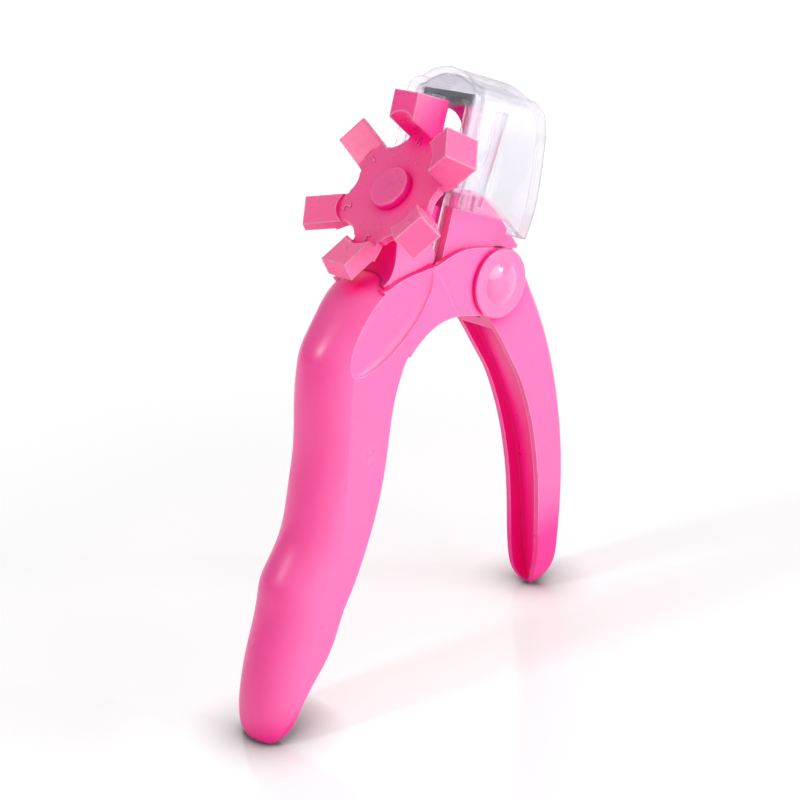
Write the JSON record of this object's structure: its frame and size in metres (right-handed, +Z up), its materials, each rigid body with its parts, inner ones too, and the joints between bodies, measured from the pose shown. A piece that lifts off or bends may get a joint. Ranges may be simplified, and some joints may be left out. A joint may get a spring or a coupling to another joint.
{
  "type": "hand pliers with stepped stop wheel",
  "caption": "Two curved handles on a broad pivot, a leaning head with guide plates, feed hole and sliding blade, a turning stop wheel with stepped arms, and a clear cover.",
  "frame": {"origin": "middle of the footprint, on the floor that both handle ends stand on", "axes": "X from the thick handle to the thin one, Y across the tool away from the pictured side, Z up"},
  "size_m": [0.1178, 0.0502, 0.1605],
  "materials": {
    "pink_body": "satin gloss moulded plastic",
    "pink_wheel": "satin moulded plastic",
    "clear_plastic": "clear polished plastic",
    "bright_steel": "polished sheet steel",
    "pin_steel": "turned steel",
    "spring_steel": "drawn spring wire"
  },
  "bodies": {
    "frame": {"handle_a": "pink_body", "head_block": "pink_body", "block_dowel_upper": "pin_steel", "block_dowel_lower": "pin_steel", "pivot_shaft": "pin_steel", "pivot_cap_front": "pink_body", "pivot_cap_rear": "pink_body", "washer_front": "pin_steel", "washer_rear": "pin_steel", "return_spring": "spring_steel", "guide_plate": "bright_steel", "plate_spacer": "bright_steel", "back_plate": "bright_steel", "wheel_bracket": "pink_body", "wheel_axle": "pin_steel", "wheel_knob": "pink_wheel", "wave_washer": "spring_steel", "detent_leaf": "spring_steel"},
    "lever": {"handle_b": "pink_body"},
    "blade": {"punch_blade": "bright_steel"},
    "wheel": {"stop_wheel": "pink_wheel"},
    "cover": {"clear_cover": "clear_plastic"}
  },
  "joints": [
    {"name": "squeeze", "type": "hinge", "parent": "frame", "child": "lever", "pos_m": [0.0326, 0, 0.1028], "axis": [0, 1, 0], "range_deg": [0, 18], "stiffness_Nm_per_rad": 0.3, "springref_deg": -20.05, "deforming": ["return_spring"]},
    {"name": "blade_slide", "type": "slide", "parent": "frame", "child": "blade", "axis": [0.3907, 0, 0.9205], "range_m": [0, 0.0071]},
    {"name": "wheel_turn", "type": "hinge", "parent": "frame", "child": "wheel", "pos_m": [0.0054, 0, 0.1348], "axis": [-0.7022, 0, 0.712], "continuous": true},
    {"name": "cover_lift", "type": "slide", "parent": "frame", "child": "cover", "axis": [0.3907, 0, 0.9205], "range_m": [0, 0.04]}
  ],
  "couplings": [
    {"joint": "blade_slide", "follows": "squeeze", "m_per_rad": 0.022334}
  ]
}
